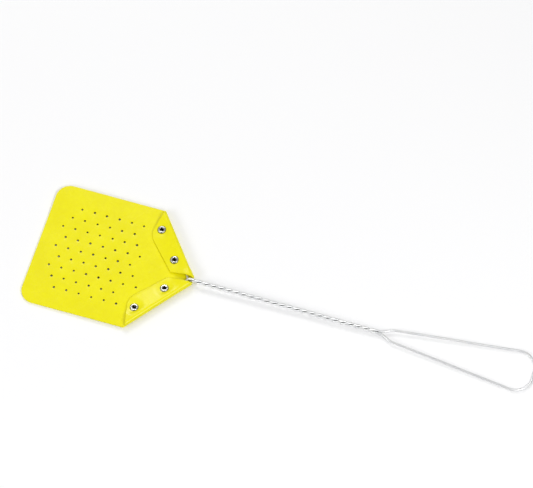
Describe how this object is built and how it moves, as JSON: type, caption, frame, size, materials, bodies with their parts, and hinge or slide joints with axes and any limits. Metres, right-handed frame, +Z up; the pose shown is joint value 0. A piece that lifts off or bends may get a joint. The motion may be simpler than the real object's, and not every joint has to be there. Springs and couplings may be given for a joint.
{
  "type": "fly swatter",
  "caption": "Leather fly swatter: a punched leather head with two riveted fold-over flaps on a twisted wire handle that ends in a hanging loop.",
  "frame": {"origin": "middle of the footprint, on the surface the swatter lies on", "axes": "+X along the handle towards its loop, +Z up out of the side with the flaps, +Y across the head; the back of the head faces down"},
  "size_m": [0.445, 0.118, 0.008],
  "materials": {
    "leather": "dyed bright yellow, smooth, low sheen",
    "wire": "bright galvanised",
    "rivets": "nickel plated"
  },
  "bodies": {
    "root": {"leather_head": "leather", "wire_handle": "wire", "rivet_left_outer": "rivets", "rivet_left_inner": "rivets", "rivet_right_outer": "rivets", "rivet_right_inner": "rivets"}
  },
  "joints": []
}
